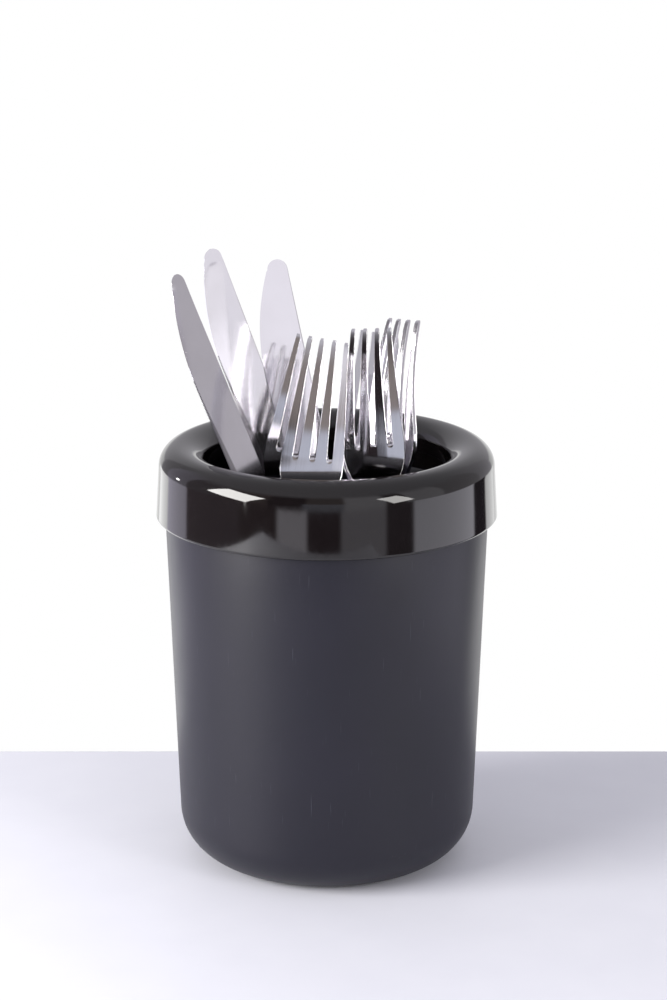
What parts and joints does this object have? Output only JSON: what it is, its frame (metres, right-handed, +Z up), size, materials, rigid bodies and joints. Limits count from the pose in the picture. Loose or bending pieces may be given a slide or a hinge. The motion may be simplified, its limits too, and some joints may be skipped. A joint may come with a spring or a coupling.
{
  "type": "tabletop cutlery holder",
  "caption": "Round tapered table caddy with a lift-off rolled rim ring, holding loose polished table knives and forks upright, each free to lift out.",
  "frame": {"origin": "middle of the cup's foot, on the table", "axes": "+Z up along the cup's axis, -Y towards the camera of the picture, +X to its right"},
  "size_m": [0.13, 0.13, 0.2318],
  "materials": {
    "cup_plastic": "satin black",
    "ring_plastic": "gloss black",
    "knife_steel": "polished stainless steel",
    "fork_steel": "polished stainless steel"
  },
  "bodies": {
    "cup": {"cup": "cup_plastic"},
    "rim_ring": {"rim_ring": "ring_plastic"},
    "knife_1": {"knife_1": "knife_steel"},
    "knife_2": {"knife_2": "knife_steel"},
    "knife_3": {"knife_3": "knife_steel"},
    "fork_1": {"fork_1": "fork_steel"},
    "fork_2": {"fork_2": "fork_steel"},
    "fork_3": {"fork_3": "fork_steel"},
    "fork_4": {"fork_4": "fork_steel"},
    "fork_5": {"fork_5": "fork_steel"}
  },
  "joints": [
    {"name": "ring_lift", "type": "slide", "parent": "cup", "child": "rim_ring", "axis": [0, 0, 1], "range_m": [0, 0.007]},
    {"name": "knife_1_lift", "type": "slide", "parent": "cup", "child": "knife_1", "axis": [-0.3673, 0.0027, 0.9301], "range_m": [0, 0.15]},
    {"name": "knife_2_lift", "type": "slide", "parent": "cup", "child": "knife_2", "axis": [-0.343, -0.0151, 0.9392], "range_m": [0, 0.15]},
    {"name": "knife_3_lift", "type": "slide", "parent": "cup", "child": "knife_3", "axis": [-0.2117, 0.2309, 0.9497], "range_m": [0, 0.15]},
    {"name": "fork_1_lift", "type": "slide", "parent": "cup", "child": "fork_1", "axis": [0.126, -0.0517, 0.9907], "range_m": [0, 0.15]},
    {"name": "fork_2_lift", "type": "slide", "parent": "cup", "child": "fork_2", "axis": [0.1728, -0.1652, 0.971], "range_m": [0, 0.15]},
    {"name": "fork_3_lift", "type": "slide", "parent": "cup", "child": "fork_3", "axis": [-0.0842, -0.0651, 0.9943], "range_m": [0, 0.15]},
    {"name": "fork_4_lift", "type": "slide", "parent": "cup", "child": "fork_4", "axis": [0.1614, 0.2456, 0.9559], "range_m": [0, 0.15]},
    {"name": "fork_5_lift", "type": "slide", "parent": "cup", "child": "fork_5", "axis": [-0.091, 0.0016, 0.9958], "range_m": [0, 0.15]}
  ]
}
